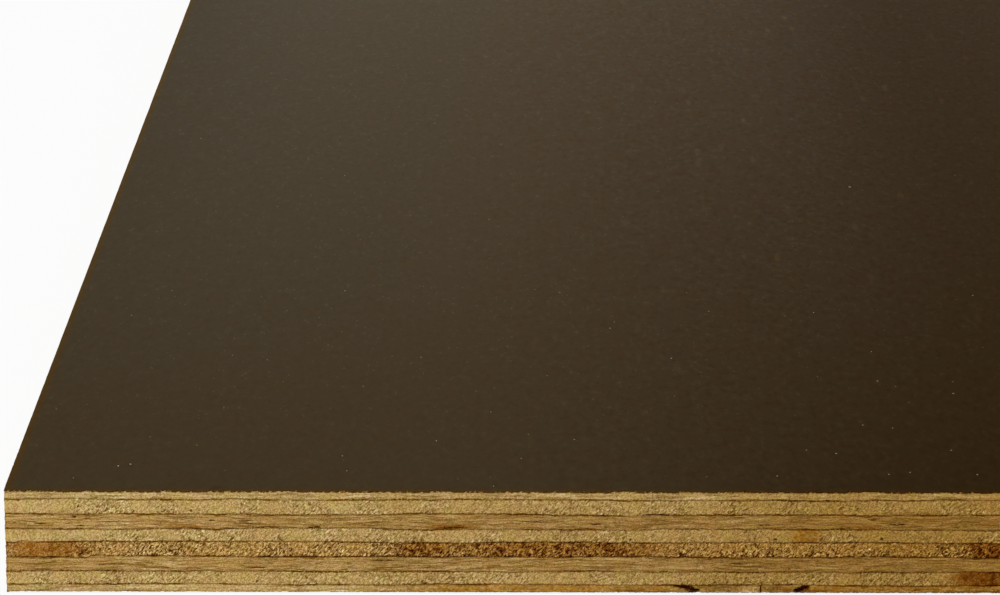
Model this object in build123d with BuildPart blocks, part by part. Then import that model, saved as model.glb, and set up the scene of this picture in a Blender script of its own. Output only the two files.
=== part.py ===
from build123d import *
import os

# Film-faced plywood sheet, lying flat on its underside. Sizes are in millimetres.
# The origin is the centre of the underside, +Z is up, and +X runs along the long edge,
# which is also the way that the grain of both face veneers runs.

# Sheet
sheet_length = 2440.0
sheet_width = 1220.0

# Phenolic film, pressed hot on both faces
film_thickness = 0.2

# Veneers. Those named long have their grain along the sheet, as the face veneers do,
# and those named cross have it across. The two centre veneers both lie across,
# so that eight veneers still make a balanced sheet with the faces alike.
face_bottom_thickness = 1.25
cross_lower_thickness = 2.3
long_lower_thickness = 2.6
centre_lower_thickness = 2.6
centre_upper_thickness = 2.3
long_upper_thickness = 2.55
cross_upper_thickness = 2.6
face_top_thickness = 1.4

# Knot holes that the saw cut open at the front edge of the lower face veneer.
# Each is half an oval seen from below, longest the way of the grain.
first_knot_from_left = 114.5
first_knot_length = 4.2
first_knot_depth = 2.4
second_knot_from_left = 133.9
second_knot_length = 2.8
second_knot_depth = 1.8

# Layers from the underside up, each with its thickness
layers = [
    ("film_bottom", film_thickness),
    ("face_ply_bottom", face_bottom_thickness),
    ("cross_ply_lower", cross_lower_thickness),
    ("long_ply_lower", long_lower_thickness),
    ("centre_ply_lower", centre_lower_thickness),
    ("centre_ply_upper", centre_upper_thickness),
    ("long_ply_upper", long_upper_thickness),
    ("cross_ply_upper", cross_upper_thickness),
    ("face_ply_top", face_top_thickness),
    ("film_top", film_thickness),
]

# Knot holes by layer: distance from the left end, length and depth of each
knot_holes = {
    "face_ply_bottom": [
        (first_knot_from_left, first_knot_length, first_knot_depth),
        (second_knot_from_left, second_knot_length, second_knot_depth),
    ],
}

left_end = -sheet_length / 2
front_edge = -sheet_width / 2

os.makedirs("parts", exist_ok=True)

# Every layer fills the sheet's outline and lies on the layer below it
height = 0.0
for name, thickness in layers:
    with BuildPart() as layer:
        with BuildSketch(Plane.XY.offset(height)):
            Rectangle(sheet_length, sheet_width)
            for from_left, knot_length, knot_depth in knot_holes.get(name, []):
                with Locations((left_end + from_left, front_edge)):
                    Ellipse(knot_length / 2, knot_depth, mode=Mode.SUBTRACT)
        extrude(amount=thickness)
    layer.part.label = name
    export_step(layer.part, f"parts/{name}.step")
    height += thickness
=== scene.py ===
# %% [markdown]
# # A sheet of film-faced plywood
# The sheet is a stack of peeled veneers, glued with their grain crossed and pressed
# between two dark phenolic films. Its faces are smooth, and all of its character is in
# the raw saw-cut edge. So the script spends its detail there: every veneer gets its own
# piece with a torn, fleecy edge, and the films lie over and under them.

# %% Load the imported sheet
import math

import bpy
import numpy as np
from mathutils import Matrix, Vector


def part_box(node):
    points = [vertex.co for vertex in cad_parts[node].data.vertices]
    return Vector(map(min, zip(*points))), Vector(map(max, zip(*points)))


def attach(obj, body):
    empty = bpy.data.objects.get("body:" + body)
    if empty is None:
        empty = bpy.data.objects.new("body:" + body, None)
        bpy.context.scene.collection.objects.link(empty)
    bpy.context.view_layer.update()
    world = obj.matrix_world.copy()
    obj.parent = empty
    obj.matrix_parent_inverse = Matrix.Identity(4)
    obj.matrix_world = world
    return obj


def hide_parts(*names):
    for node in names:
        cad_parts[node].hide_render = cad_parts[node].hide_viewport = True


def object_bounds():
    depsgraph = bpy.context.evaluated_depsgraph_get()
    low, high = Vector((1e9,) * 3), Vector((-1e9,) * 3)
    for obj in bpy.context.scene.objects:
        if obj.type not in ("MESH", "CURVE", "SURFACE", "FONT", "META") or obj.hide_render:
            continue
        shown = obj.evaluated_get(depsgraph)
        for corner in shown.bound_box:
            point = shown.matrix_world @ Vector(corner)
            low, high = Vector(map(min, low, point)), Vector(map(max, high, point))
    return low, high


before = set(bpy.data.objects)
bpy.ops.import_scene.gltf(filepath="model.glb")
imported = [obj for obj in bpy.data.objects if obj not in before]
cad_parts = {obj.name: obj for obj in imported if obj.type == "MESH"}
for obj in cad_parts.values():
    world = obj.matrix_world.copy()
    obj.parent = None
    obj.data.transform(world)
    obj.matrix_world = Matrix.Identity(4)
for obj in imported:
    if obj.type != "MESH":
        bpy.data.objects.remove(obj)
cad_low, cad_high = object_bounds()
print("CAD box in metres:", tuple(cad_low), tuple(cad_high))

# %% [markdown]
# The nodes of the stack are named from the underside up. Their boxes give each veneer's
# height, so no thickness is typed in here. The photograph shows the corner at the left
# end of the front edge, and places on the edge are measured from that corner.

# %% Places on the sheet
MM = 0.001
stack = ["film_bottom", "face_ply_bottom", "cross_ply_lower", "long_ply_lower", "centre_ply_lower"]
stack += ["centre_ply_upper", "long_ply_upper", "cross_ply_upper", "face_ply_top", "film_top"]
heights = [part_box(node)[0].z for node in stack] + [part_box(stack[-1])[1].z]
left, right = cad_low.x, cad_high.x
front, back = cad_low.y, cad_high.y
length, width = right - left, back - front
shown_corner = Vector((left, front, cad_high.z))
print("layer heights in mm:", [round(height / MM, 2) for height in heights])

# %% [markdown]
# The camera comes first, because it decides how much detail each stretch of the edge
# needs. It looks along the sheet from low in front through a long lens. The straight
# lines of the corner in the photograph fix its place: the top arris runs nearly level,
# the left arris leans away, and the edge is 102 pixels high.

# %% Camera
camera_from_corner = Vector((83.4, -667.4, 212.4)) * MM
camera_tilt_down = math.radians(15.0)
camera_turn = math.radians(0.032)
camera_roll = math.radians(0.105)
camera_lens_mm = 150.6


def add_object(name, data):
    """A new object in the scene, with its origin at the scene's own."""
    made = bpy.data.objects.new(name, data)
    bpy.context.scene.collection.objects.link(made)
    return made


camera_data = bpy.data.cameras.new("camera")
camera = add_object("camera", camera_data)
camera_data.sensor_width = 36.0
camera_data.lens = camera_lens_mm
camera_data.clip_start = 0.01
camera_data.clip_end = 100.0
level_view = math.radians(90.0) - camera_tilt_down
camera.matrix_world = (
    Matrix.Translation(shown_corner + camera_from_corner)
    @ Matrix.Rotation(camera_turn, 4, "Z")
    @ Matrix.Rotation(level_view, 4, "X")
    @ Matrix.Rotation(camera_roll, 4, "Z")
)
bpy.context.scene.camera = camera
print("camera at", tuple(round(v, 4) for v in camera.matrix_world.translation))

# %% [markdown]
# Materials and Geometry Nodes are both networks of nodes, and both are easier to read as
# arithmetic. `Net` wraps a tree and has the one method that adds a node. `Value` wraps a
# socket, and adding or multiplying two of them adds the Math node that does it.


# %% Writing nodes as expressions
class Value:
    """A number, colour or vector on its way through a network."""

    def __init__(self, net, socket):
        self.net = net
        self.socket = socket

    def calculate(self, operation, *numbers):
        return self.net.node("ShaderNodeMath", {"operation": operation}, dict(enumerate(numbers)))

    def __add__(self, other):
        return self.calculate("ADD", self, other)

    def __radd__(self, other):
        return self.calculate("ADD", other, self)

    def __sub__(self, other):
        return self.calculate("SUBTRACT", self, other)

    def __rsub__(self, other):
        return self.calculate("SUBTRACT", other, self)

    def __mul__(self, other):
        return self.calculate("MULTIPLY", self, other)

    def __rmul__(self, other):
        return self.calculate("MULTIPLY", other, self)

    def __truediv__(self, other):
        return self.calculate("DIVIDE", self, other)

    def __rtruediv__(self, other):
        return self.calculate("DIVIDE", other, self)

    def at_least(self, other):
        return self.calculate("MAXIMUM", self, other)

    def at_most(self, other):
        return self.calculate("MINIMUM", self, other)

    def rise(self, start, end):
        """0 below start, 1 above end, with a soft step between; start may be above end."""
        return self.net.node(
            "ShaderNodeMapRange",
            {"interpolation_type": "SMOOTHSTEP"},
            {"Value": self, "From Min": start, "From Max": end},
        )


class Net:
    """A node tree being wired, of a material or of Geometry Nodes."""

    def __init__(self, tree):
        self.tree = tree

    def node(self, kind, settings=None, sockets=None, out=0):
        made = self.tree.nodes.new(kind)
        for name, setting in (settings or {}).items():
            setattr(made, name, setting)
        for key, value in (sockets or {}).items():
            if isinstance(value, Value):
                self.tree.links.new(value.socket, made.inputs[key])
            else:
                made.inputs[key].default_value = value
        return Value(self, made.outputs[out]) if len(made.outputs) else made

    def noise(self, vector, size, detail=2.0, roughness=0.5, out=0):
        """Soft random values whose spots are about size metres across."""
        sockets = {"Vector": vector, "Scale": 1.0 / size, "Detail": detail, "Roughness": roughness}
        return self.node("ShaderNodeTexNoise", {}, sockets, out)

    def cells(self, vector, size, flat=False):
        """How far the middle of the nearest random cell is, in shares of size metres."""
        settings = {"voronoi_dimensions": "2D"} if flat else {}
        return self.node("ShaderNodeTexVoronoi", settings, {"Vector": vector, "Scale": 1.0 / size})

    def cell_number(self, cells):
        """A random number from 0 to 1 that is the same all over a cell."""
        return self.split(Value(self, cells.socket.node.outputs["Color"]))[0]

    def vector(self, operation, *vectors, out=0):
        sockets = dict(enumerate(vectors))
        return self.node("ShaderNodeVectorMath", {"operation": operation}, sockets, out)

    def scaled(self, vector, factor):
        return self.node("ShaderNodeVectorMath", {"operation": "SCALE"}, {0: vector, "Scale": factor})

    def split(self, vector):
        parts = self.node("ShaderNodeSeparateXYZ", {}, {0: vector})
        outputs = parts.socket.node.outputs
        return Value(self, outputs[0]), Value(self, outputs[1]), Value(self, outputs[2])

    def join(self, x, y, z):
        return self.node("ShaderNodeCombineXYZ", {}, {0: x, 1: y, 2: z})

    def blend(self, mask, below, above):
        """Colour below where the mask is 0, and above where it is 1."""
        settings = {"data_type": "RGBA"}
        return self.node("ShaderNodeMix", settings, {0: mask, 6: below, 7: above}, out=2)

    def tint(self, mask, colour, by):
        """Colour times by where the mask is 1, and unchanged where it is 0."""
        settings = {"data_type": "RGBA", "blend_type": "MULTIPLY"}
        return self.node("ShaderNodeMix", settings, {0: mask, 6: colour, 7: (*by, 1.0)}, out=2)


def colour(red, green, blue):
    """A colour given as it looks on a screen, 0 to 255, in the linear numbers that nodes use."""
    shares = [v / 255.0 for v in (red, green, blue)]
    linear = [s / 12.92 if s <= 0.04045 else ((s + 0.055) / 1.055) ** 2.4 for s in shares]
    return (*linear, 1.0)


# %% [markdown]
# Wood has one pattern through its whole depth, so the texture is laid out along the
# grain, not along the faces. `grain_space` turns a point into three numbers: one along
# the fleck, one across it and one along the fibres, which is squeezed, so that the same
# spots come out as short slanting flecks on a cut across the grain and as long streaks
# on a cut along it. The veneers come in four groups, whose fibres run along X or along Y.

# %% Grain
grain_along_x = {"face": True, "cross": False, "long": True, "core": False}
fleck_lean = math.radians(48)


def grain_space(net, point, fibres_along_x, lean, fleck_ratio, fibre_ratio):
    x, y, z = net.split(point)
    fibre, across = (x, y) if fibres_along_x else (y, x)
    along_fleck = across * math.cos(lean) + z * math.sin(lean)
    across_fleck = z * math.cos(lean) - across * math.sin(lean)
    return net.join(along_fleck * fleck_ratio, across_fleck, fibre * fibre_ratio)


def unsteady(net, point, size, reach):
    """The point pushed about by a soft noise, so that what is laid out on it wavers."""
    push = net.vector("SUBTRACT", net.noise(point, size, detail=1.0, out=1), (0.5, 0.5, 0.5))
    return net.vector("ADD", point, net.scaled(push, reach))


# %% [markdown]
# No two stretches of edge are alike, and the photographed one has its own cracks, knots
# and stains. Each is noted here in millimetres as the middle of the mark, from the left
# corner and above the underside, and how far it reaches each way along and up the edge.
# They go less than a centimetre into the sheet.

# %% Marks on the photographed stretch
marks = {
    "face": {
        "knot": [
            (113.3, 1.30, 0.8, 0.28), (114.1, 1.05, 0.8, 0.35), (114.9, 0.80, 0.9, 0.38),
            (115.8, 0.45, 0.9, 0.34), (133.5, 0.55, 0.9, 0.38), (134.4, 0.95, 0.7, 0.42),
            (134.9, 1.35, 0.35, 0.3),
        ],
        "crack": [(127.0, 0.8, 0.15, 0.8)],
        "amber": [(92.0, 0.8, 26.0, 1.4), (150.0, 0.8, 24.0, 1.4)],
        "grey": [(120.5, 0.8, 3.4, 1.2), (130.2, 0.8, 2.4, 1.2)],
    },
    "cross": {
        "crack": [
            (31.3, 14.45, 0.2, 0.22), (129.3, 9.55, 0.3, 0.2), (147.2, 9.6, 0.28, 0.25),
            (109.1, 13.9, 1.8, 0.13), (21.6, 14.3, 0.25, 0.13),
        ],
        "amber": [(134.4, 10.1, 2.7, 1.5), (166.0, 2.6, 6.5, 1.9)],
        "umber": [(166.0, 2.6, 6.5, 1.9)],
        "grey": [(71.0, 2.7, 0.9, 0.4), (152.0, 14.15, 5.5, 0.35), (166.0, 2.6, 5.5, 1.9)],
        "smooth": [
            (2.0, 15.1, 6.0, 1.9), (56.8, 15.1, 2.3, 1.5), (134.4, 10.1, 2.7, 1.5),
            (5.0, 10.0, 11.0, 1.6), (165.0, 2.6, 7.5, 1.9),
        ],
    },
    "long": {
        "crack": [
            (6.1, 12.1, 1.0, 0.11), (12.9, 11.75, 1.1, 0.11), (11.7, 13.35, 0.4, 0.2),
            (34.8, 12.7, 0.5, 0.13), (40.4, 12.7, 1.2, 0.11), (52.0, 11.5, 1.1, 0.14),
            (75.2, 11.55, 2.3, 0.15), (88.8, 12.6, 2.1, 0.12), (99.2, 12.2, 0.9, 0.14),
            (127.6, 12.1, 1.3, 0.12), (145.5, 13.1, 0.7, 0.16), (149.7, 12.2, 1.9, 0.11),
            (42.0, 4.4, 1.9, 0.12), (63.4, 5.7, 2.0, 0.11), (123.3, 5.25, 1.5, 0.10),
        ],
        "amber": [(30.4, 11.6, 3.2, 0.35), (75.2, 11.6, 4.5, 0.5)],
    },
    "core": {
        "crack": [(13.6, 6.9, 0.4, 0.12), (14.4, 7.2, 0.25, 0.12), (17.5, 7.6, 0.3, 0.12)],
        "amber": [(168.0, 7.7, 5.0, 2.6)],
        "smooth": [(6.8, 7.65, 5.5, 1.9)],
        "umber": [
            (7.4, 7.65, 6.6, 1.9), (91.5, 7.7, 18.0, 2.6), (70.5, 7.7, 5.0, 2.6),
            (168.0, 7.7, 6.5, 2.6),
        ],
        "grey": [(148.1, 7.5, 1.7, 0.4)],
    },
}
mark_goes_in = 9.0 * MM
for group, kinds in marks.items():
    print(group, "veneers have", sum(len(places) for places in kinds.values()), "marks")


def marked(net, point, group, kind, edge=0.35):
    """1 on the marks of one kind and 0 off them, with a ragged rim."""
    places = marks[group].get(kind)
    if places is None:
        return None
    nearest = None
    for from_left, height, reach_along, reach_up in places:
        middle = (left + from_left * MM, front, height * MM)
        reach = (reach_along * MM, mark_goes_in, reach_up * MM)
        offset = net.vector("DIVIDE", net.vector("SUBTRACT", point, middle), reach)
        away = net.vector("LENGTH", offset, out=1)
        nearest = away if nearest is None else nearest.at_most(away)
    return nearest.rise(1.0 + edge, 1.0 - edge)


# %% [markdown]
# The outline of the sheet is walked once, anticlockwise from the shown corner. The walk
# takes short steps where the photograph looks closely and longer ones further off, which
# keeps eight veneers and two films well under a million triangles. Every layer uses the
# same stations, so neighbours meet without gaps. The arrises at the four corners of the
# sheet are worn a little round, as on the real one.

# %% Stations round the sheet
fine_step = 0.2 * MM
coarse_step = 4.0 * MM
step_growth = 0.035
shown_on_front = 168.0 * MM
shown_on_left = 15.0 * MM
corner_wear = 0.4 * MM


def stations(reach, shown=0.0):
    """Distances along an edge from a corner: close over the shown stretch, then wider."""
    at = [0.0]
    while at[-1] < reach:
        beyond = max(0.0, at[-1] - shown)
        at.append(at[-1] + min(coarse_step, fine_step + step_growth * beyond))
    return np.array(at) * reach / at[-1]


def walk_outline():
    """Points, outward directions and distances from the shown corner, all round the sheet."""
    sides = [
        (stations(length, shown_on_front), (left, front), (1, 0), (0, -1)),
        (stations(width), (right, front), (0, 1), (1, 0)),
        (stations(length), (right, back), (-1, 0), (0, 1)),
        (width - stations(width, shown_on_left)[::-1], (left, back), (0, -1), (-1, 0)),
    ]
    points, outward, walked = [], [], []
    done = 0.0
    for at, start, way, out in sides:
        to_corner = np.minimum(at, at[-1] - at)
        inside = np.clip(corner_wear - to_corner, 0.0, corner_wear)
        wear = corner_wear - np.sqrt(corner_wear**2 - inside**2)
        diagonal = np.array(out) - np.array(way)
        place = np.array(start) + at[:, None] * np.array(way) - wear[:, None] * np.array(out)
        place[0] = np.array(start) - corner_wear * (1.0 - math.sqrt(0.5)) * diagonal
        outs = np.repeat([out], len(at), axis=0).astype(float)
        outs[0] = diagonal / math.sqrt(2.0)
        points.append(place[:-1])
        outward.append(outs[:-1])
        walked.append(done + at[:-1])
        done += at[-1]
    return np.concatenate(points), np.concatenate(outward), np.concatenate(walked), done


outline, outward, walked, girth = walk_outline()
print("stations:", len(outline), "girth in m:", round(girth, 3))

# %% [markdown]
# Peeled veneer is never quite even, so each glue line wanders up and down by a tenth of
# a millimetre or two. A sum of waves with random lengths gives the wander, and because
# every wave fits the girth a whole number of times, the line closes on itself.

# %% Wandering glue lines
wander_seed = 18
wave_count = 40
shortest_wave, longest_wave = 1.2 * MM, 90.0 * MM
long_wave_weight = 0.45
peak_over_spread = 2.2
wander_random = np.random.default_rng(wander_seed)


def wander(reach):
    """A height offset for each station, about reach at its widest."""
    lengths = np.exp(wander_random.uniform(np.log(shortest_wave), np.log(longest_wave), wave_count))
    turns = np.round(girth / lengths)
    phases = wander_random.uniform(0.0, 2.0 * math.pi, wave_count)
    sizes = lengths**long_wave_weight * wander_random.uniform(0.4, 1.0, wave_count)
    waves = np.sin(2.0 * math.pi * np.outer(walked / girth, turns) + phases) @ sizes
    return waves * reach / (peak_over_spread * np.sqrt((sizes**2).sum() / 2.0))


def dent(from_corner, half_width, depth):
    """A single dip or bump in a glue line, as at a knot in the veneer beside it."""
    return depth * MM * np.exp(-(((walked - from_corner * MM) / (half_width * MM)) ** 2))


glue_wander = 0.16 * MM
film_wander = 0.03 * MM
dust_headroom = 0.05 * MM
glue_dents = {4: [(12.6, 1.8, -0.38), (7.0, 5.0, -0.12)], 5: [(3.1, 1.0, 0.25)], 7: [(21.6, 0.6, 0.2)]}
boundaries = []
for number, height in enumerate(heights):
    outer = number in (0, len(heights) - 1)
    beside_film = number in (1, len(heights) - 2)
    reach = 0.0 if outer else film_wander if beside_film else glue_wander
    boundaries.append(height + wander(reach))
    boundaries[-1] += sum(dent(*place) for place in glue_dents.get(number, []))
boundaries[-1] -= dust_headroom
print("glue lines wander by mm:", [round(float(np.ptp(line)) / MM, 2) for line in boundaries])

# %% [markdown]
# `layer_mesh` makes one layer as a closed body: a band of rows round the edge, and a cap
# over and under it, of rings that get coarser inward so that no face is a long sliver.
# Attributes go with the points, for the nodes to read: the way out of the sheet, how much
# a point belongs to the sawn edge, and how far the next glue line is. The band also gets
# its own texture map, cut into rows that lie one above the other, because a strip seven
# metres long and two millimetres high would waste a square map.

# %% Making a layer
map_pixels = 1024
map_gap_pixels = 3.0
rows_map_share = 0.96
least_row_length = 0.05
caps_map_size, caps_map_place = (0.9, 0.02), (0.0, 0.975)
fibre_map_size, fibre_map_place = (0.018, 0.006, 0.0), (0.96, 0.988, 0.0)
cap_rings = ((6.0 * MM, 12.0 * MM), (50.0 * MM, 100.0 * MM), (300.0 * MM, 600.0 * MM))


def map_rows(thickness):
    """Row length and the row that each station's panel falls in, so that the band fills a map."""
    row_length = least_row_length
    while True:
        row_pixels = thickness * map_pixels / row_length + map_gap_pixels
        if (girth / row_length + 2.0) * row_pixels < rows_map_share * map_pixels:
            break
        row_length *= 1.01
    starts = np.zeros(len(walked))
    rows = np.zeros(len(walked))
    ends = np.append(walked[1:], girth)
    start, row = 0.0, 0
    for station, end in enumerate(ends):
        if end - start > row_length:
            start, row = walked[station], row + 1
        starts[station], rows[station] = start, row
    return row_length, starts, ends, rows, row_pixels / map_pixels


def lay_map(mesh, thickness, shares, cap_corners):
    """Lays the band in rows on the map and the caps in a strip above them."""
    row_length, starts, ends, map_row, row_share = map_rows(thickness)
    u_here, u_after = (walked - starts) / row_length, (ends - starts) / row_length
    row_fill = row_share * (1.0 - map_gap_pixels / (row_share * map_pixels))
    corners = []
    for share_low, share_high in zip(shares[:-1], shares[1:]):
        v_low = map_row * row_share + share_low * row_fill
        v_high = map_row * row_share + share_high * row_fill
        panel = np.array([u_here, v_low, u_after, v_low, u_after, v_high, u_here, v_high])
        corners.append(panel.T.reshape(-1, 2))
    flat = (cap_corners - (left, front)) / (length, width)
    corners.append(flat * caps_map_size + caps_map_place)
    mesh.uv_layers.new(name="OFBake").data.foreach_set("uv", np.concatenate(corners).ravel())


def inset_outline(inset):
    return outline * (1.0 - 2.0 * inset / length, 1.0 - 2.0 * inset / width)


def stations_apart(spacing):
    """Numbers of the stations about spacing apart, with the four corners among them."""
    picked = []
    start = 0.0
    for side in (length, width, length, width):
        wanted = start + np.linspace(0.0, side, round(side / spacing), endpoint=False)
        picked.append(np.searchsorted(walked, wanted - 0.001 * MM))
        start += side
    return np.concatenate(picked)


def cap(ring, height, first_new):
    """Corners and faces that close the top of a layer, from a ring of vertices inward."""
    corners, faces = [], []
    ring_stations = np.arange(len(outline))
    for inset, spacing in cap_rings:
        picked = stations_apart(spacing)
        inner = first_new + len(corners) + np.arange(len(picked))
        corners += [(x, y, height) for x, y in inset_outline(inset)[picked]]
        starts = np.searchsorted(ring_stations, picked)
        ends = np.append(starts[1:], len(ring))
        closed = np.append(ring, ring[0])
        for start, end, here, after in zip(starts, ends, inner, np.roll(inner, -1)):
            faces.append([*closed[start : end + 1].tolist(), int(after), int(here)])
        ring, ring_stations = inner, picked
    return corners, faces + [ring.tolist()]


def layer_mesh(name, number, rows, rims=()):
    """One layer as a mesh. Its rims are insets of rings on its upper and lower face."""
    low, high = boundaries[number], boundaries[number + 1]
    count = len(outline)
    shares = np.linspace(0.0, 1.0, rows + 1)
    rings = [np.column_stack([inset_outline(inset), low]) for inset in rims[::-1]]
    rings += [np.column_stack([outline, low + share * (high - low)]) for share in shares]
    rings += [np.column_stack([inset_outline(inset), high]) for inset in rims]
    fading = [1.0 - inset / rims[-1] for inset in rims]
    weights = fading[::-1] + [1.0] * (rows + 1) + fading

    here = np.arange(count)
    after = (here + 1) % count
    faces, on_edge = [], []
    for ring in range(len(rings) - 1):
        below, above = ring * count, (ring + 1) * count
        faces.append(np.stack([below + here, below + after, above + after, above + here], 1))
        on_edge += [len(rims) <= ring < len(rims) + rows] * count
    quads = np.concatenate(faces)
    in_rings = len(rings) * count
    low_corners, under = cap(here, heights[number], in_rings)
    first_high = in_rings + len(low_corners)
    high_corners, over = cap(in_rings - count + here, boundaries[number + 1].mean(), first_high)
    under = [face[::-1] for face in under]
    inner = len(low_corners) + len(high_corners)
    vertices = np.concatenate(rings + [np.array(low_corners + high_corners)])
    on_edge = np.array(on_edge + [False] * (len(under) + len(over)))

    mesh = bpy.data.meshes.new(name)
    mesh.from_pydata(vertices, [], quads.tolist() + under + over)
    mesh.polygons.foreach_set("use_smooth", on_edge)
    heights_here = vertices[:, 2]
    floor_of_layer = np.append(np.tile(low, len(rings)), [heights[number]] * inner)
    roof_of_layer = np.append(np.tile(high, len(rings)), [heights[number + 1]] * inner)
    to_glue = roof_of_layer - heights_here
    if number > 1:
        to_glue = np.minimum(to_glue, heights_here - floor_of_layer)
    level = (heights_here - floor_of_layer) / (roof_of_layer - floor_of_layer)
    sawn = np.append(np.repeat(weights, count), [0.0] * inner)
    ways = np.zeros((len(vertices), 3))
    ways[:in_rings, :2] = np.tile(outward, (len(rings), 1))
    numbers = {"sawn": sawn, "to_glue": to_glue, "level": level}
    for label, values in numbers.items():
        mesh.attributes.new(label, "FLOAT", "POINT").data.foreach_set("value", values)
    mesh.attributes.new("outward", "FLOAT_VECTOR", "POINT").data.foreach_set("vector", ways.ravel())
    mesh.attributes.new("edge_face", "FLOAT", "FACE").data.foreach_set("value", on_edge.astype(float))

    if not rims:
        caps = [corner for face in under + over for corner in face]
        lay_map(mesh, heights[number + 1] - heights[number], shares, vertices[caps, :2])
    return add_object(name, mesh)


# %% [markdown]
# A saw leaves the edge torn: fibres are pulled out of the end grain in short slanting
# flecks, splits open along the grain, and the hard glue lines stand in shallow grooves.
# One Geometry Nodes tree for each kind of veneer does this. Its inputs are the sizes that
# differ from veneer to veneer, and it keeps the depth of every point as an attribute, so
# that the material can paint shade into the hollows. Last it lays torn fibres on the edge:
# thin splinters that stay flat in long grain and lie at a slant on end grain.


# %% Geometry Nodes helpers
def named(net, attribute, kind="FLOAT"):
    return net.node("GeometryNodeInputNamedAttribute", {"data_type": kind}, {"Name": attribute})


def keep(net, geometry, attribute, value, kind="FLOAT", domain="POINT"):
    settings = {"data_type": kind, "domain": domain}
    sockets = {"Geometry": geometry, "Name": attribute, "Value": value}
    return net.node("GeometryNodeStoreNamedAttribute", settings, sockets)


def on_ends(net, way_out):
    """1 on the two short ends of the sheet and 0 on its long edges."""
    out_x = net.split(way_out)[0]
    return out_x.calculate("ABSOLUTE", out_x)


def moved_by(net, geometry, offset):
    return net.node("GeometryNodeSetPosition", {}, {"Geometry": geometry, "Offset": offset})


def random_value(net, low, high, seed):
    sockets = {"Min": low, "Max": high, "Seed": seed}
    return net.node("FunctionNodeRandomValue", {"data_type": "FLOAT"}, sockets, out=1)


def scattered(net, mesh, density, seed, **where):
    """Random points on a mesh, density of them to a square metre."""
    settings = {"distribute_method": "RANDOM"}
    sockets = {"Mesh": mesh, "Density": density, "Seed": seed, **where}
    return net.node("GeometryNodeDistributePointsOnFaces", settings, sockets)


def placed(net, points, instance, rotation, scale):
    sockets = {"Points": points, "Instance": instance, "Rotation": rotation, "Scale": scale}
    return net.node("GeometryNodeInstanceOnPoints", {}, sockets)


def realized(net, geometry):
    return net.node("GeometryNodeRealizeInstances", {}, {"Geometry": geometry})


def joined(net, *parts):
    both = net.node("GeometryNodeJoinGeometry")
    for part in parts:
        net.tree.links.new(part.socket, both.socket.node.inputs[0])
    return both


def tree_with_inputs(name, inputs):
    """A Geometry Nodes tree that takes a mesh and named numbers and gives a mesh."""
    tree = bpy.data.node_groups.new(name, "GeometryNodeTree")
    tree.interface.new_socket("Mesh", in_out="INPUT", socket_type="NodeSocketGeometry")
    for label, value in inputs.items():
        socket = tree.interface.new_socket(label, in_out="INPUT", socket_type="NodeSocketFloat")
        socket.default_value = value
    tree.interface.new_socket("Finish", in_out="INPUT", socket_type="NodeSocketMaterial")
    tree.interface.new_socket("Mesh", in_out="OUTPUT", socket_type="NodeSocketGeometry")
    net = Net(tree)
    first = net.node("NodeGroupInput")
    given = {s.name: Value(net, s) for s in first.socket.node.outputs if s.name}
    return net, given


def finish_tree(net, geometry, material):
    sockets = {"Geometry": realized(net, geometry), "Material": material}
    net.node("NodeGroupOutput", {}, {0: net.node("GeometryNodeSetMaterial", {}, sockets)})
    print(net.tree.name, "tree has", len(net.tree.nodes), "nodes")
    return net.tree


def run_tree(piece, tree, material, **sizes):
    """Runs a tree on a piece, keeps the result as a plain mesh and holds it in the CAD box."""
    modifier = piece.modifiers.new(tree.name, "NODES")
    modifier.node_group = tree
    values = {**sizes, "Finish": material}
    for item in tree.interface.items_tree:
        if item.in_out == "INPUT" and item.name in values:
            modifier[item.identifier] = values[item.name]
    depsgraph = bpy.context.evaluated_depsgraph_get()
    result = bpy.data.meshes.new_from_object(piece.evaluated_get(depsgraph), depsgraph=depsgraph)
    piece.modifiers.remove(modifier)
    piece.data = result
    places = np.empty(3 * len(result.vertices))
    result.vertices.foreach_get("co", places)
    places = np.clip(places.reshape(-1, 3), tuple(cad_low), tuple(cad_high))
    result.vertices.foreach_set("co", places.ravel())
    result.update()
    triangles = sum(len(face.vertices) - 2 for face in result.polygons)
    print(piece.name, "triangles:", triangles)


# %% The saw-cut trees
fibre_seed = 5
shown_fibres = 4.0e6
other_fibres = 0.02e6
film_foot = heights[-2]
crack_depth, knot_depth = 0.22 * MM, 1.0 * MM
up = (0.0, 0.0, 1.0)


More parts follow.
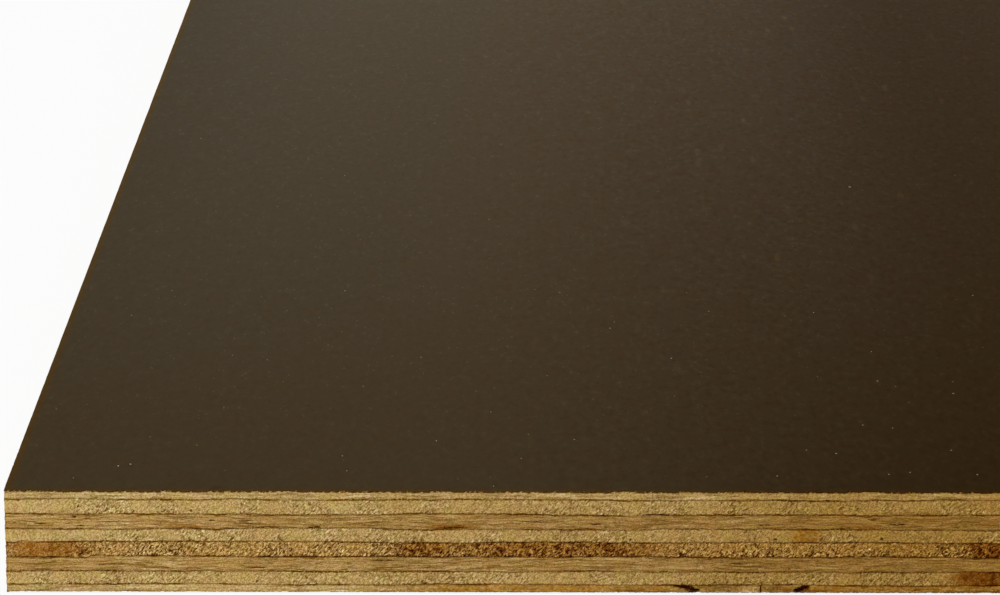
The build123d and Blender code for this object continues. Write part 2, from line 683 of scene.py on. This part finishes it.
def fibres_on(net, geometry, given, group):
    """Thin splinters lying on the band, more of them where the photograph looks closely."""
    point = net.node("GeometryNodeInputPosition")
    x, y, z = net.split(point)
    near = (x - left).rise(shown_on_front + 4.0 * MM, shown_on_front)
    near = near * (y - front).rise(6.0 * MM, 3.0 * MM)
    density = near * given["Fibre share"] * shown_fibres + other_fibres * given["Fibre share"]
    smooth = marked(net, point, group, "smooth")
    if smooth is not None:
        density = density * (1.0 - smooth * 0.8)
    at_film = z.rise(film_foot - 0.45 * MM, film_foot - 0.15 * MM) * given["Rim fibres"]
    density = density * (1.0 + at_film * 1.5)
    roots = scattered(net, geometry, density, fibre_seed, Selection=named(net, "edge_face") * 1.0)
    out_way = named(net, "outward", "FLOAT_VECTOR")
    along = net.vector("CROSS_PRODUCT", up, out_way)
    lean = given["Fibre lean"] + random_value(net, -1.0, 1.0, 11) * given["Lean spread"]
    level = lean.calculate("COSINE", lean)
    upright = lean.calculate("SINE", lean) + at_film * 0.5
    way = net.vector("ADD", net.scaled(along, level), net.scaled(up, upright))
    way = net.vector("ADD", way, net.scaled(out_way, random_value(net, -0.02, 0.16, 12)))
    turned = net.node(
        "FunctionNodeAxesToRotation",
        {"primary_axis": "Z", "secondary_axis": "X"},
        {"Primary Axis": way, "Secondary Axis": out_way},
    )
    splinter = net.node(
        "GeometryNodeMeshCone",
        {"fill_type": "NGON"},
        {"Vertices": 4, "Radius Top": 0.0, "Radius Bottom": 1.0, "Depth": 1.0},
    )
    on_cone = net.vector("MULTIPLY", net.node("GeometryNodeInputPosition"), fibre_map_size)
    on_map = net.vector("ADD", on_cone, fibre_map_place)
    splinter = keep(net, splinter, "OFBake", on_map, "FLOAT2", "CORNER")
    thick = given["Fibre width"] * random_value(net, 0.6, 1.3, 13) * 0.5
    long = given["Fibre length"] * random_value(net, 0.5, 1.5, 14)
    fibres = realized(net, placed(net, roots, splinter, turned, net.join(thick, thick, long)))
    return keep(net, fibres, "fibre", random_value(net, 0.4, 1.0, 15))


def saw_cut_tree(group):
    inputs = {
        "Fleck size": 0.45 * MM,
        "Fleck depth": 0.20 * MM,
        "Split depth": 0.0,
        "Groove depth": 0.10 * MM,
        "Groove width": 0.14 * MM,
        "Least depth": 0.08 * MM,
        "Fibre share": 1.0,
        "Rim fibres": 0.0,
        "Fibre lean": math.radians(50),
        "Lean spread": math.radians(35),
        "Fibre width": 0.13 * MM,
        "Fibre length": 0.5 * MM,
    }
    net, given = tree_with_inputs(f"saw_cut_{group}", inputs)
    point = net.node("GeometryNodeInputPosition")
    loose = unsteady(net, point, 1.5 * MM, 1.2 * MM)
    fleck_space = grain_space(net, loose, grain_along_x[group], fleck_lean, 0.65, 0.05)
    split_space = grain_space(net, loose, grain_along_x[group], 0.0, 0.9, 0.06)
    fleck_sockets = {"Vector": fleck_space, "Scale": 1.0 / given["Fleck size"], "Detail": 2.0}
    flecks = net.node("ShaderNodeTexNoise", {}, fleck_sockets)
    splits = net.noise(split_space, 0.42 * MM, detail=1.0)
    broad = net.noise(point, 7.0 * MM, detail=1.0)
    torn = (0.66 - flecks).at_least(0.0) * 3.0
    smooth = marked(net, point, group, "smooth")
    if smooth is not None:
        torn = torn * (1.0 - smooth * 0.75)
    groove = 1.0 - named(net, "to_glue").rise(0.0, given["Groove width"])
    depth = given["Least depth"] + given["Fleck depth"] * torn + broad * 0.10 * MM
    depth = depth + given["Split depth"] * splits.rise(0.56, 0.72)
    depth = depth + given["Groove depth"] * groove * broad.rise(0.30, 0.6)
    ragged = unsteady(net, point, 0.6 * MM, 0.25 * MM)
    for kind, opened in (("crack", crack_depth), ("knot", knot_depth)):
        hole = marked(net, ragged, group, kind)
        if hole is not None:
            depth = depth + hole * opened
    way_out = named(net, "outward", "FLOAT_VECTOR")
    depth = depth * named(net, "sawn") * (1.0 - on_ends(net, way_out) * 0.5)
    kept = keep(net, given["Mesh"], "hollow", depth)
    torn_band = moved_by(net, kept, net.scaled(way_out, 0.0 - depth))
    fibres = fibres_on(net, torn_band, given, group)
    return finish_tree(net, joined(net, fibres, torn_band), given["Finish"])


saw_cut = {group: saw_cut_tree(group) for group in grain_along_x}

# %% [markdown]
# The finish of a veneer's edge starts from the wood's colour, which is painted paler near
# the ends of the sheet as painted light, and drifts at random between pale straw and ochre
# along the edge. Flecks of torn fibre are lighter and pores darker. The glue lines are dark
# and broken, and the hollows are darkened as painted shade. All of it is read in Object
# coordinates, so it runs through the wood and round the corners of the sheet.


# %% Finish of the veneers
def new_material(name):
    material = bpy.data.materials.new(name)
    material.use_nodes = True
    material.node_tree.nodes.clear()
    return material, Net(material.node_tree)


def principled(net, base, roughness, specular, normal=None):
    sockets = {"Base Color": base, "Roughness": roughness, "Specular IOR Level": specular}
    if normal is not None:
        sockets["Normal"] = normal
    shader = net.node("ShaderNodeBsdfPrincipled", {}, sockets)
    net.node("ShaderNodeOutputMaterial", {}, {"Surface": shader})


def own_place(net):
    """Object coordinates, which run through the wood and don't slide when a piece is moved."""
    return net.node("ShaderNodeTexCoord", {}, {}, out=3)


def read(net, attribute):
    return net.node("ShaderNodeAttribute", {"attribute_name": attribute}, {}, out=2)


pale_by = (1.42, 1.56, 2.00)
spark_by = (1.35, 1.48, 1.85)
gap_by = (0.40, 0.26, 0.0)
pore_by = (0.24, 0.11, 0.0)
streak_by = (0.60, 0.43, 0.08)
warm_by = (1.08, 0.98, 0.80)
olive_by = (0.98, 1.01, 0.90)
rosy_by = (1.02, 0.98, 1.03)
arris_by = (1.0, 0.95, 0.86)
straw_by = (1.7, 1.7, 1.6)
amber_by = (0.74, 0.54, 0.18)
umber_by = (0.67, 0.44, 0.13)
burnt_by = (0.38, 0.21, 0.10)
grey_by = (0.74, 0.68, 0.52)
glue_by = (0.36, 0.22, 0.0)
knot_by = (0.26, 0.10, 0.06)
shade_by = (0.62, 0.44, 0.10)
# How far in from the ends the wood is painted paler, as painted light.
end_light_reach = 200.0 * MM
veneer_slots = {group: f"{group}_veneer" for group in ("face", "cross", "long")}
veneer_slots["core"] = "dark_core_veneer"


def from_nearest_end(x):
    """Distance to the nearer short end of the sheet, from which the painted light, the painted sheens and
    the arris tint are laid out.
    """
    return (x - left).at_most(right - x)


def veneer_edge(group, pale, ripe, grain, flecked, streaked, pitted):
    """A wood finish: its size of grain, and how strongly it is flecked, streaked and pitted."""
    material, net = new_material(veneer_slots[group])
    point = own_place(net)
    loose = unsteady(net, point, 1.5 * MM, 0.45 * MM)
    fleck_space = grain_space(net, loose, grain_along_x[group], fleck_lean, 0.45, 0.05)
    flecks = net.noise(fleck_space, 0.32 * grain, detail=2.0, roughness=0.55)
    coarse = net.noise(loose, 1.1 * grain, detail=1.0)
    grit = net.noise(point, 0.31 * grain, detail=1.0, roughness=0.6)
    patches = net.noise(point, 4.5 * MM, detail=1.0)
    hues = net.noise(point, 2.2 * MM, detail=0.0)
    drift = net.noise(point, 26.0 * MM, detail=2.0)
    broad = net.noise(point, 300.0 * MM, detail=0.0)
    breaks = net.noise(grain_space(net, point, True, 0.0, 1.0, 0.25), 1.4 * MM, detail=2.0)
    cells = net.cells(fleck_space, 0.7 * grain)
    cell_kind = net.cell_number(cells)

    from_end = from_nearest_end(net.split(point)[0])
    # Painted light: the wood is painted paler towards the short ends of the sheet, with a random drift and,
    # further in, broad random patches on top.
    lit_falloff_and_drift = from_end.rise(-20.0 * MM, end_light_reach) * 0.8 + (drift - 0.5) * 0.9
    lit_falloff_and_drift = lit_falloff_and_drift - from_end.rise(end_light_reach, 2.0 * end_light_reach) * broad.rise(0.40, 0.65) * 0.7
    plain = net.blend(lit_falloff_and_drift.at_least(0.0).at_most(1.0), pale, ripe)
    wood = net.tint(patches.rise(0.42, 0.62) * 0.35, plain, warm_by)
    wood = net.tint(hues.rise(0.52, 0.66), wood, olive_by)
    wood = net.tint(hues.rise(0.48, 0.34), wood, rosy_by)
    wood = net.tint(from_end.rise(1.1 * MM, 0.3 * MM), wood, arris_by)
    stains = {kind: marked(net, loose, group, kind, edge=0.4) for kind in ("umber", "amber", "grey")}
    for kind, by in (("umber", umber_by), ("amber", amber_by), ("grey", grey_by)):
        if stains[kind] is not None:
            wood = net.tint(stains[kind] * (0.65 + coarse.rise(0.6, 0.4) * 0.35), wood, by)

    smooth = marked(net, point, group, "smooth")
    torn = 1.0 if smooth is None else 1.0 - smooth * 0.7
    lower_part = read(net, "level").rise(0.8, 0.1)
    steady = 0.35 * flecked
    force = patches.rise(0.60, 0.42) * (1.05 - steady) + steady
    force = force * (lower_part * 0.3 + 0.85) * flecked * torn
    wood = net.tint(coarse.rise(0.50, 0.36) * 0.4 * force, wood, gap_by)
    wood = net.tint(flecks.rise(0.50, 0.64) * force, wood, pale_by)
    wood = net.tint(flecks.rise(0.50, 0.36) * force, wood, gap_by)
    if flecked > 1.0:
        beyond = (force - 1.0).at_least(0.0)
        wood = net.tint(flecks.rise(0.49, 0.40) * beyond, wood, gap_by)
    if stains["umber"] is not None:
        blotches = coarse.rise(0.52, 0.40) * 0.6 + flecks.rise(0.50, 0.42) * 0.3
        wood = net.tint(stains["umber"] * blotches * torn, wood, burnt_by)
    gritty = 0.35 + 0.2 * flecked
    wood = net.tint(grit.rise(0.51, 0.64) * gritty, wood, pale_by)
    wood = net.tint(grit.rise(0.49, 0.36) * gritty, wood, gap_by)
    sparks = cells.rise(0.36, 0.14) * cell_kind.rise(0.45, 0.55)
    wood = net.tint(sparks * grit.rise(0.44, 0.50) * force, wood, spark_by)
    height = flecks * flecked

    if streaked:
        wavy = unsteady(net, point, 9.0 * MM, 1.4 * MM)
        streak_space = grain_space(net, wavy, grain_along_x[group], 0.0, 1.0, 0.030)
        streaks = net.noise(streak_space, 0.30 * MM, detail=2.0, roughness=0.65)
        hairlines = net.noise(streak_space, 0.20 * MM, detail=0.0)
        wood = net.tint(streaks.rise(0.50, 0.62) * 0.9 * streaked, wood, streak_by)
        wood = net.tint(streaks.rise(0.48, 0.38) * 0.6 * streaked, wood, pale_by)
        wood = net.tint(hairlines.rise(0.68, 0.74) * breaks.rise(0.45, 0.6) * streaked, wood, pore_by)
        height = height + streaks * streaked * 0.8
    if pitted:
        pits = cells.rise(0.44, 0.20) * cell_kind.rise(0.45, 0.35)
        pits = pits * patches.rise(0.62, 0.46) * coarse.rise(0.60, 0.44) * torn
        wood = net.tint(pits * (lower_part * 0.6 + 0.5) * pitted, wood, pore_by)

    waver = (net.noise(point, 0.7 * MM, detail=1.0) - 0.5) * 0.30 * MM
    line = (read(net, "to_glue") + waver).rise(0.25 * MM, 0.08 * MM)
    wood = net.tint(line * (0.40 + breaks.rise(0.40, 0.60) * 0.60), wood, glue_by)
    # Painted shade: the deeper hollows are darkened by their depth.
    wood = net.tint(read(net, "hollow").rise(0.28 * MM, 0.55 * MM) * 0.5, wood, shade_by)
    ragged = unsteady(net, point, 0.6 * MM, 0.35 * MM)
    # Painted shade: cracks are painted near black inside their shallow opening, and knot holes dark, partly
    # the knot's own darker wood.
    for kind, by in (("crack", pore_by), ("knot", knot_by)):
        hole = marked(net, ragged, group, kind)
        if hole is not None:
            wood = net.tint(hole, wood, by)
    straw = net.tint(grit.rise(0.3, 0.7), plain, straw_by)
    wood = net.blend(read(net, "fibre") * 0.7, wood, straw)

    bump = net.node("ShaderNodeBump", {}, {"Strength": 1.0, "Distance": 0.2 * MM, "Height": height})
    principled(net, wood, 0.85, 0.03, bump)
    print(material.name, "finish has", len(net.tree.nodes), "nodes")
    return material


# Pale colour, which the ends get as painted light, and ripe colour, size of grain, then how strongly it is
# flecked, streaked and pitted
looks = {
    "face": (colour(186, 160, 106), colour(150, 114, 48), 0.9 * MM, 0.5, 0.4, 0.2),
    "cross": (colour(187, 160, 102), colour(142, 104, 33), 0.85 * MM, 0.8, 0.0, 1.0),
    "long": (colour(172, 140, 83), colour(128, 90, 28), 0.75 * MM, 0.5, 0.8, 0.0),
    "core": (colour(185, 150, 88), colour(149, 107, 36), 0.8 * MM, 1.6, 0.0, 1.3),
}
finishes = {group: veneer_edge(group, *look) for group, look in looks.items()}

# %% [markdown]
# Each veneer is made, sawn and given its finish. The thin face veneers need fewer rows,
# the cross veneers show torn end grain along the front, and the long ones show splits.

# %% The eight veneers
rows_thick, rows_thin = 12, 7
flat_lean, flat_spread = math.radians(3), math.radians(12)
long_sizes = {
    "Split depth": 0.16 * MM,
    "Fleck depth": 0.06 * MM,
    "Fibre lean": flat_lean,
    "Lean spread": flat_spread,
    "Fibre length": 1.3 * MM,
    "Fibre share": 0.5,
}
face_sizes = {
    "Split depth": 0.08 * MM,
    "Fleck depth": 0.10 * MM,
    "Rim fibres": 1.0,
    "Fibre lean": math.radians(28),
    "Lean spread": math.radians(25),
}
core_sizes = {
    "Fleck depth": 0.30 * MM,
    "Fleck size": 0.42 * MM,
    "Fibre length": 0.6 * MM,
    "Fibre share": 0.7,
}
veneers = [
    ("bottom_face_veneer", "face", {**face_sizes, "Fibre share": 0.1}),
    ("lower_cross_veneer", "cross", {"Least depth": 0.04 * MM}),
    ("lower_long_veneer", "long", {**long_sizes, "Fibre share": 0.3}),
    ("lower_centre_veneer", "core", core_sizes),
    ("upper_centre_veneer", "cross", {"Least depth": 0.05 * MM}),
    ("upper_long_veneer", "long", {**long_sizes, "Split depth": 0.20 * MM}),
    ("upper_cross_veneer", "cross", {"Least depth": 0.06 * MM}),
    ("top_face_veneer", "face", face_sizes),
]
for number, (name, group, sizes) in enumerate(veneers, start=1):
    piece = layer_mesh(name, number, rows_thin if group == "face" else rows_thick)
    run_tree(piece, saw_cut[group], finishes[group], **sizes)
    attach(piece, "root")
    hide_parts(stack[number])

# %% [markdown]
# The phenolic film is paper soaked in dark resin and pressed glossy-smooth, then dulled
# by handling. Its brown is not quite even. Near the shown corner it is painted lighter, as
# painted light, and a pale painted sheen grows away from the long edges, with a cool
# painted sheen near the short ends; further off the same colours follow broad clouds. A
# finer mottle, small smudges, soft pale blots and pale specks are rubbed into it. It shines
# very little, so the specular level is low. The camera sees the face at a slant, so the
# fine marks are stretched in depth.

# %% Finish of the film
sheen_reach = 450.0 * MM
# The second colour is painted light near the shown corner and the third a painted sheen there; further off
# both are cloud tones.
film_brown, film_lit_and_cloud, film_sheen_and_cloud = colour(42, 29, 11), colour(61, 49, 32), colour(198, 182, 158)
# A cool pale tint: painted sheen near the short ends.
end_sheen_by = (0.98, 1.08, 1.20)
pale_mottle_by, dark_mottle_by = (1.05, 1.06, 1.07), (1.03, 0.95, 0.88)
pale_smudge_by, dark_smudge_by = (1.20, 1.19, 1.16), (0.86, 0.84, 0.82)
blot_by = (1.34, 1.32, 1.30)
grit_by = (1.14, 1.14, 1.14)
speck_by = (1.5, 1.5, 1.5)
rim_by = (1.35, 1.0, 0.40)


def film_finish():
    material, net = new_material("phenolic_film")
    point = own_place(net)
    x, y, z = net.split(point)
    stretched = net.join(x, y * 0.4, z)
    clouds = net.noise(point, 160.0 * MM, detail=2.0)
    mottle = net.noise(stretched, 3.5 * MM, detail=2.0, roughness=0.65)
    smudges = net.noise(stretched, 1.3 * MM, detail=1.0)
    grit = net.noise(stretched, 0.4 * MM, detail=0.0)
    specks = net.cells(stretched, 2.0 * MM, flat=True)
    blots = net.cells(net.join(x, y * 0.2, z), 6.0 * MM, flat=True)

    from_left, from_end = x - left, from_nearest_end(x)
    inward = ((y - front).at_most(back - y) / sheen_reach).at_most(1.0)
    far = from_left.rise(210.0 * MM, 500.0 * MM).at_least((y - front).rise(450.0 * MM, 900.0 * MM))
    # Painted light: near the shown corner the film is painted lighter within 60 mm of the left end and
    # darker past 175 mm; further off the lighter colour follows the broad clouds.
    lit_and_clouds = from_left.rise(175.0 * MM, 60.0 * MM) * (1.0 - far) + far * clouds * 0.9
    # Painted sheen: a pale wash that grows inward from the long edges, full within 140 mm of the left end
    # and half past 190 mm; further off it follows the broad clouds.
    sheen_and_clouds = (1.0 - from_left.rise(140.0 * MM, 190.0 * MM) * 0.5) * (1.0 - far) + far * clouds * 1.2
    sheen_and_clouds = sheen_and_clouds * inward * from_end.rise(-60.0 * MM, 45.0 * MM)
    brown = net.blend(lit_and_clouds, film_brown, film_lit_and_cloud)
    brown = net.blend(sheen_and_clouds * 0.07, brown, film_sheen_and_cloud)

    rubbed = from_left.rise(60.0 * MM, 140.0 * MM)
    mottled, smudged = 0.7 + rubbed * 0.5, 0.4 + rubbed * 0.4
    some_blots = net.cell_number(blots).rise(0.65, 0.95) * (inward * 4.0).at_most(1.0) * rubbed
    some_specks = mottle.rise(0.52, 0.60) * (inward * 4.0 + 0.3).at_most(1.0)
    washes = [
        # Painted sheen: a cool pale wash near the short ends, growing inward from the long edges.
        (from_end.rise(110.0 * MM, 0.0) * (inward * 3.0).at_most(1.0), end_sheen_by),
        (mottle.rise(0.50, 0.64) * mottled, pale_mottle_by),
        (mottle.rise(0.48, 0.36) * mottled, dark_mottle_by),
        (smudges.rise(0.58, 0.68) * smudged, pale_smudge_by),
        (smudges.rise(0.42, 0.34) * smudged, dark_smudge_by),
        (blots.rise(0.16, 0.04) * some_blots, blot_by),
        (grit.rise(0.54, 0.64) * 0.4, grit_by),
        (specks.rise(0.12, 0.05) * some_specks, speck_by),
        (read(net, "sawn").rise(0.4, 1.0), rim_by),
    ]
    for mask, by in washes:
        brown = net.tint(mask, brown, by)
    bump = net.node("ShaderNodeBump", {}, {"Strength": 0.25, "Distance": 0.02 * MM, "Height": grit})
    principled(net, brown, 0.5 + mottle * 0.2, 0.001, bump)
    print(material.name, "finish has", len(net.tree.nodes), "nodes")
    return material


film = film_finish()

# %% [markdown]
# The saw chips the brittle film along its arris, so that a ragged line of pale veneer
# shows above it. A tree of its own draws the film back there by most of a millimetre at
# the worst places. On the underside, where the teeth come out of the sheet, the film is
# torn back all along.


# %% The chipped films
def chip_tree():
    inputs = {"Least depth": 0.0, "Chip depth": 0.45 * MM, "Nick depth": 0.35 * MM}
    net, given = tree_with_inputs("chipped_film", inputs)
    point = net.node("GeometryNodeInputPosition")
    chips = net.noise(point, 2.2 * MM, detail=2.0).rise(0.54, 0.70)
    nicks = net.noise(point, 0.55 * MM, detail=2.0).rise(0.42, 0.66)
    depth = given["Least depth"] + given["Chip depth"] * chips + given["Nick depth"] * nicks
    way_out = named(net, "outward", "FLOAT_VECTOR")
    back_in = depth * named(net, "sawn") * (on_ends(net, way_out) * 0.93 - 1.0)
    return finish_tree(net, moved_by(net, given["Mesh"], net.scaled(way_out, back_in)), given["Finish"])


chipped = chip_tree()
rows_film = 2
film_rims = (0.6 * MM, 3.0 * MM)
torn_back = {"Least depth": 0.55 * MM, "Chip depth": 0.3 * MM, "Nick depth": 0.2 * MM}
for name, number, sizes in (("bottom_film", 0, torn_back), ("top_film", 9, {})):
    piece = layer_mesh(name, number, rows_film, film_rims)
    run_tree(piece, chipped, film, **sizes)
    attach(piece, "root")
    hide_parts(stack[number])

# %% [markdown]
# Sawdust and crumbs of wood lie on the film, most of them near the cut. One Geometry Nodes
# tree drops flat crumbs on the top face. The brightest ones in the photograph are given as
# points, and the rest are scattered at random and thin out away from the shown corner. They
# fill the thin gap that was left over the film, so they stay in the sheet's own box.

# %% Dust on the film
crumb_seed = 7
crumb_height = 0.44 * dust_headroom
crumb_bed_margin = 4.0 * MM
largest_turn = 0.7
# Millimetres from the left end and from the front edge, and size
bright_crumbs = [
    (22, 31, 0.14), (20, 15, 0.17), (18, 14, 0.14), (72, 29, 0.11), (76, 7, 0.11),
    (82, 3, 0.10), (96, 30, 0.11), (56, 20, 0.10), (130, 9, 0.12), (136, 24, 0.12),
    (141, 22, 0.15), (147, 39, 0.12), (149, 10, 0.13), (152, 67, 0.14), (161, 24, 0.13),
    (164, 10, 0.14), (165, 59, 0.19), (159, 219, 0.30),
]


def crumb_material():
    material, net = new_material("sawdust")
    point = own_place(net)
    shade = net.noise(point, 1.5 * MM, detail=1.0).rise(0.35, 0.65)
    grain = net.noise(point, 0.1 * MM, detail=1.0).rise(0.35, 0.65)
    wood = net.blend(shade, colour(118, 100, 74), colour(196, 180, 148))
    principled(net, net.tint(grain, wood, (0.85, 0.82, 0.76)), 0.8, 0.1)
    return material


def crumb_tree():
    inputs = {"Crumbs near": 2600.0, "Crumbs elsewhere": 250.0, "Crumb size": 0.085 * MM}
    net, given = tree_with_inputs("sawdust", inputs)
    bed_length, bed_width = length - crumb_bed_margin, width - crumb_bed_margin
    bed_sockets = {"Size X": bed_length, "Size Y": bed_width, "Vertices X": 160, "Vertices Y": 80}
    bed = net.node("GeometryNodeMeshGrid", {}, bed_sockets)
    x, y = net.split(net.node("GeometryNodeInputPosition"))[:2]
    near = (x - left).rise(320.0 * MM, 190.0 * MM) * (y - front).rise(260.0 * MM, 20.0 * MM)
    density = given["Crumbs elsewhere"] + near * given["Crumbs near"]
    crumb = net.node("GeometryNodeMeshIcoSphere", {}, {"Radius": 1.0, "Subdivisions": 1})
    turned = net.node(
        "FunctionNodeRandomValue",
        {"data_type": "FLOAT_VECTOR"},
        {0: (0.0, 0.0, -largest_turn), 1: (0.0, 0.0, largest_turn), "Seed": 22},
    )
    random_places = scattered(net, bed, density, crumb_seed)
    random_size = given["Crumb size"] * random_value(net, 0.5, 1.5, 21)
    crumbs = []
    for places, size in ((random_places, random_size), (given["Mesh"], named(net, "size"))):
        crumb_scale = net.join(size, size * 1.9, crumb_height)
        crumbs.append(placed(net, places, crumb, turned, crumb_scale))
    film_top = cad_high.z - dust_headroom * 0.5
    lifted = moved_by(net, realized(net, joined(net, *crumbs)), (0.0, 0.0, film_top))
    return finish_tree(net, lifted, given["Finish"])


crumb_places = [(left + x * MM, front + y * MM, 0.0) for x, y, size in bright_crumbs]
crumb_mesh = bpy.data.meshes.new("sawdust")
crumb_mesh.from_pydata(crumb_places, [], [])
crumb_sizes = [size * MM for x, y, size in bright_crumbs]
crumb_mesh.attributes.new("size", "FLOAT", "POINT").data.foreach_set("value", crumb_sizes)
sawdust = add_object("sawdust", crumb_mesh)
run_tree(sawdust, crumb_tree(), crumb_material())
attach(sawdust, "root")

# %% [markdown]
# The stage is a plain white floor. The camera sees it nearly white with a soft shadow,
# and so do reflections, while its bounce light stays that of a pale floor.


# %% Floor and surroundings
def camera_sees(net):
    """1 for rays that look, straight, in a reflection or through glass, and 0 for light."""
    rays = net.node("ShaderNodeLightPath")
    outputs = rays.socket.node.outputs
    looking = Value(net, outputs["Is Camera Ray"]) + Value(net, outputs["Is Glossy Ray"])
    return (looking + Value(net, outputs["Is Transmission Ray"])).at_most(1.0)


floor_reach = 30.0
floor_below = 0.2 * MM
floor_ways = [(-1, -1), (1, -1), (1, 1), (-1, 1)]
floor_corners = [(x * floor_reach, y * floor_reach, -floor_below) for x, y in floor_ways]
floor_mesh = bpy.data.meshes.new("floor")
floor_mesh.from_pydata(floor_corners, [], [(0, 1, 2, 3)])
floor = add_object("floor", floor_mesh)
floor_material, net = new_material("floor")
pale_floor = net.node("ShaderNodeBsdfDiffuse", {}, {"Color": (0.8, 0.8, 0.8, 1.0)})
white = net.node("ShaderNodeEmission", {}, {"Color": (1.0, 1.0, 1.0, 1.0), "Strength": 1.0})
floor_look = net.node("ShaderNodeMixShader", {}, {0: camera_sees(net) * 0.88, 1: pale_floor, 2: white})
net.node("ShaderNodeOutputMaterial", {}, {"Surface": floor_look})
floor_mesh.materials.append(floor_material)

world = bpy.data.worlds.new("studio")
bpy.context.scene.world = world
world.use_nodes = True
world.node_tree.nodes.clear()
net = Net(world.node_tree)
fill_level = 0.40
level = fill_level + camera_sees(net) * (1.0 - fill_level)
sky = net.node("ShaderNodeBackground", {}, {"Color": (1.0, 1.0, 1.0, 1.0), "Strength": level})
net.node("ShaderNodeOutputWorld", {}, {"Surface": sky})
print("floor", round(2.0 * floor_reach), "m across under a sky of strength", fill_level)

# %% [markdown]
# One large softbox lights the whole sheet from the left and in front, like a window, and
# the pale surroundings fill the shadows. Together they light it at a plain level, so a
# colour shows about as it is written, on the face and on the edge alike.

# %% Lamps
softbox_place = Vector((-5.0, -6.0, 7.0))
softbox_size = 2.4
softbox_power = 760.0
softbox_data = bpy.data.lights.new("large_light", "AREA")
softbox_data.shape = "SQUARE"
softbox_data.size = softbox_size
softbox_data.energy = softbox_power
softbox = add_object("large_light", softbox_data)
facing_sheet = (-softbox_place).to_track_quat("-Z", "Y").to_matrix().to_4x4()
softbox.matrix_world = Matrix.Translation(softbox_place) @ facing_sheet
softbox.visible_camera = False
bpy.context.scene.view_settings.view_transform = "Standard"
print("softbox at", tuple(softbox_place), "with", softbox_power, "W")
